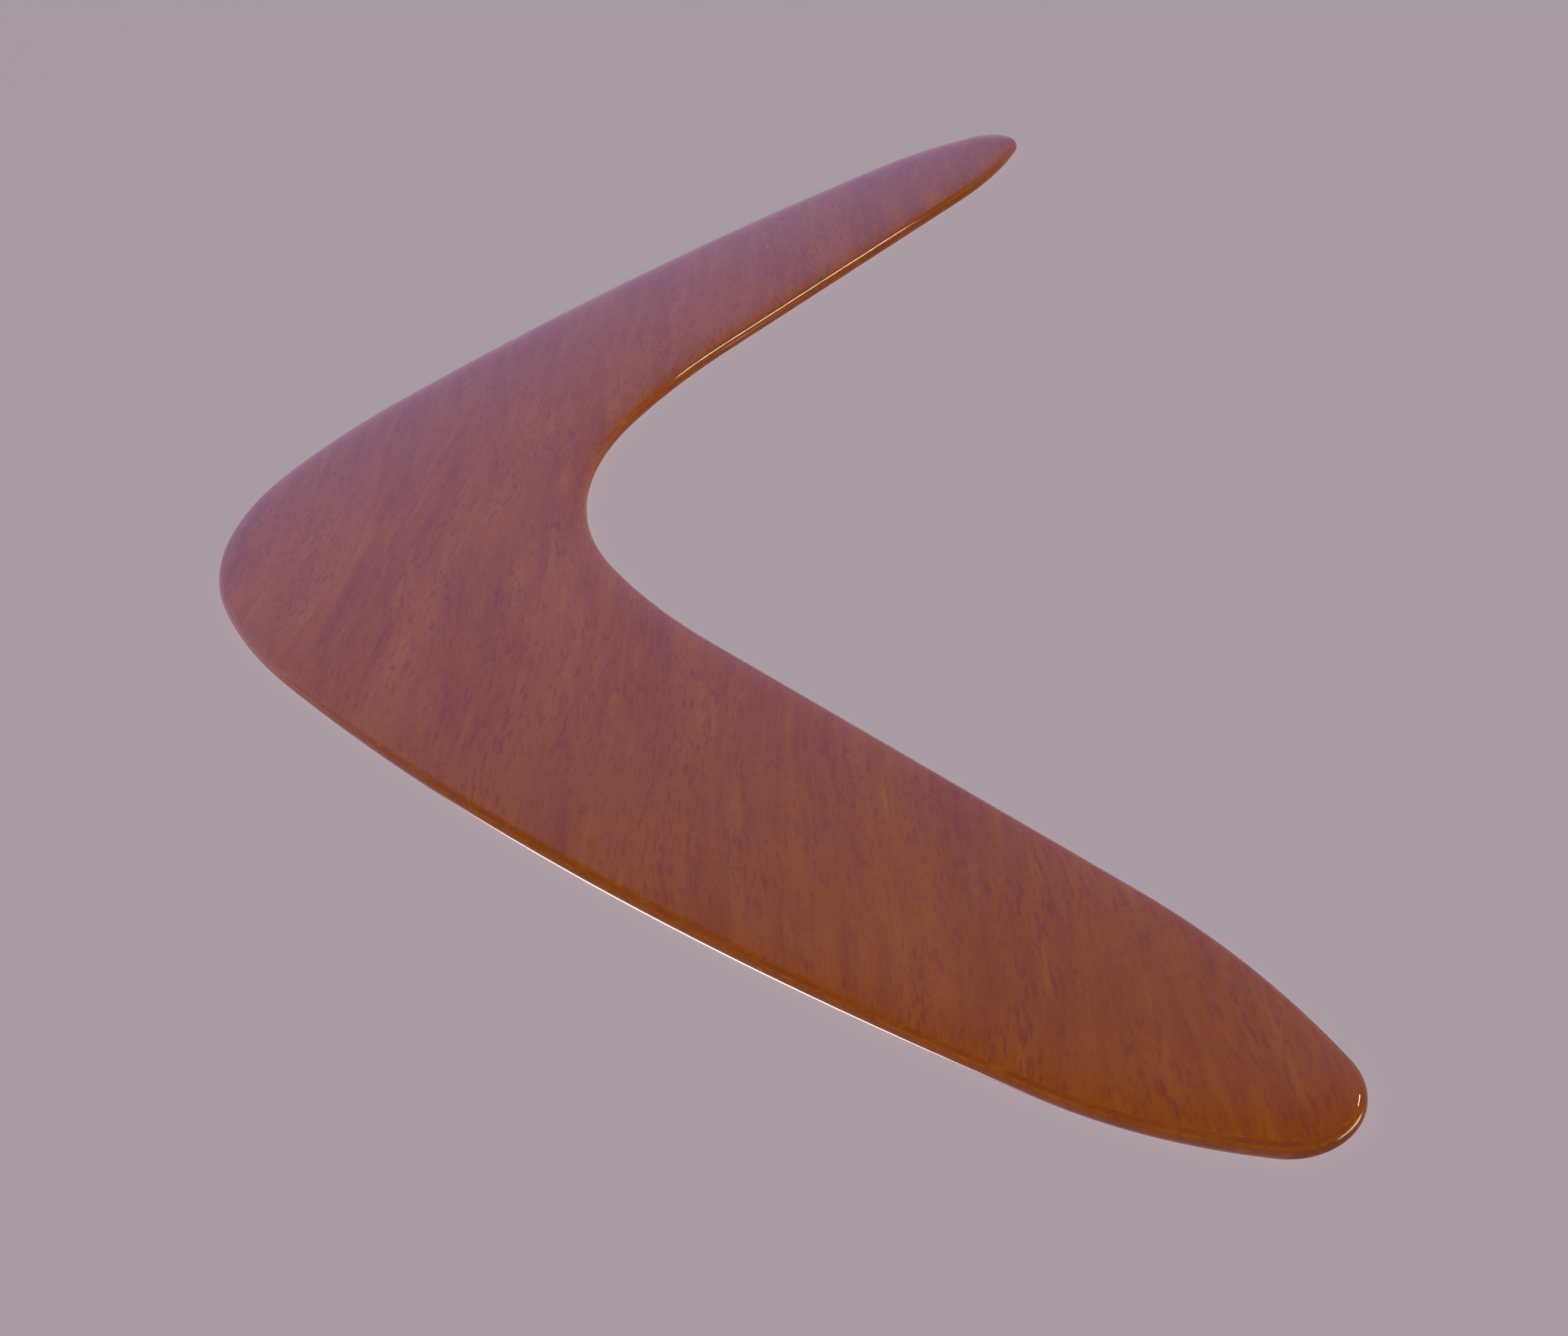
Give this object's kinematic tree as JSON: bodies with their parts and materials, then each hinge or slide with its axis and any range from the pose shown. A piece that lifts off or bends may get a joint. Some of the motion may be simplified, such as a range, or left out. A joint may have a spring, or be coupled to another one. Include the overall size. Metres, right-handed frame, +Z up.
{
  "type": "boomerang",
  "caption": "V-shaped returning boomerang cut from thin lacquered plywood: a flat board with curved, tapering arms, rounded tips and a rounded-over rim.",
  "frame": {"origin": "under the middle of the bounding box, on the plane of the flat underside", "axes": "+X from tip to tip along the grain of the face veneers, +Y towards the elbow, +Z up through the thickness"},
  "size_m": [0.45, 0.211, 0.004],
  "materials": {
    "face_wood": "red-brown hardwood veneer, grain from tip to tip, clear gloss lacquer",
    "long_grain_wood": "core veneer with its grain from tip to tip, seen only at the rounded rim under gloss lacquer",
    "cross_grain_wood": "core veneer with its grain across, end grain at the rounded rim under gloss lacquer"
  },
  "bodies": {
    "root": {"back_veneer": "face_wood", "ply_2_cross_grain": "cross_grain_wood", "ply_3_long_grain": "long_grain_wood", "ply_4_cross_grain": "cross_grain_wood", "ply_5_cross_grain": "cross_grain_wood", "ply_6_long_grain": "long_grain_wood", "ply_7_cross_grain": "cross_grain_wood", "face_veneer": "face_wood"}
  },
  "joints": []
}
